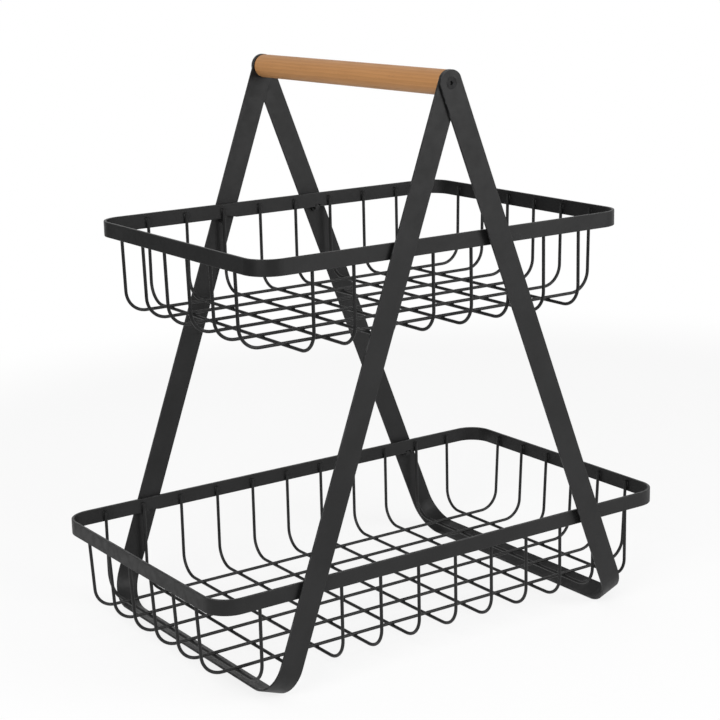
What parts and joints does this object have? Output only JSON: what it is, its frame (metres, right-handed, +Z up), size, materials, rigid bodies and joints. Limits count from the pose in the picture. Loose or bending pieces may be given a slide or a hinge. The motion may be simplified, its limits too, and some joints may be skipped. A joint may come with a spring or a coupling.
{
  "type": "tiered wire basket",
  "caption": "Tiered countertop basket: rectangular wire baskets with flat-strip rims sit between A-shaped leg frames that fold about a wooden carrying handle.",
  "frame": {"origin": "on the table, under the middle of the baskets", "axes": "+X along the baskets towards the outer leg frame, +Y along the handle, +Z up"},
  "size_m": [0.394, 0.239, 0.4134],
  "materials": {
    "frame_coating": "satin black powder coat",
    "rim_coating": "satin black powder coat",
    "wire_coating": "satin black powder coat",
    "screw_black": "black oxide",
    "insert_brass": "turned",
    "handle_wood": "oiled, fine straight grain"
  },
  "bodies": {
    "stand": {"outer_leg_frame": "frame_coating", "handle": "handle_wood", "front_handle_insert": "insert_brass", "rear_handle_insert": "insert_brass", "front_handle_screw": "screw_black", "rear_handle_screw": "screw_black", "outer_upper_studs": "frame_coating", "outer_lower_studs": "frame_coating"},
    "inner_legs": {"inner_leg_frame": "frame_coating", "inner_upper_studs": "frame_coating", "inner_lower_studs": "frame_coating"},
    "upper_basket": {"upper_rim": "rim_coating", "upper_long_wire_1": "wire_coating", "upper_long_wire_2": "wire_coating", "upper_long_wire_3": "wire_coating", "upper_long_wire_4": "wire_coating", "upper_long_wire_5": "wire_coating", "upper_long_wire_6": "wire_coating", "upper_cross_wire_1": "wire_coating", "upper_cross_wire_2": "wire_coating", "upper_cross_wire_3": "wire_coating", "upper_cross_wire_4": "wire_coating", "upper_cross_wire_5": "wire_coating", "upper_cross_wire_6": "wire_coating", "upper_cross_wire_7": "wire_coating", "upper_cross_wire_8": "wire_coating"},
    "lower_basket": {"lower_rim": "rim_coating", "lower_long_wire_1": "wire_coating", "lower_long_wire_2": "wire_coating", "lower_long_wire_3": "wire_coating", "lower_long_wire_4": "wire_coating", "lower_long_wire_5": "wire_coating", "lower_long_wire_6": "wire_coating", "lower_cross_wire_1": "wire_coating", "lower_cross_wire_2": "wire_coating", "lower_cross_wire_3": "wire_coating", "lower_cross_wire_4": "wire_coating", "lower_cross_wire_5": "wire_coating", "lower_cross_wire_6": "wire_coating", "lower_cross_wire_7": "wire_coating", "lower_cross_wire_8": "wire_coating", "lower_cross_wire_9": "wire_coating", "lower_cross_wire_10": "wire_coating", "lower_cross_wire_11": "wire_coating"}
  },
  "joints": [
    {"name": "leg_fold", "type": "hinge", "parent": "stand", "child": "inner_legs", "pos_m": [-0.0054, 0, 0.4044], "axis": [0, -1, 0], "range_deg": [0, 34.5]},
    {"name": "upper_basket_lift", "type": "slide", "parent": "stand", "child": "upper_basket", "axis": [0, 0, 1], "range_m": [0, 0.085]},
    {"name": "lower_basket_lift", "type": "slide", "parent": "stand", "child": "lower_basket", "axis": [0, 0, 1], "range_m": [0, 0.14]}
  ]
}
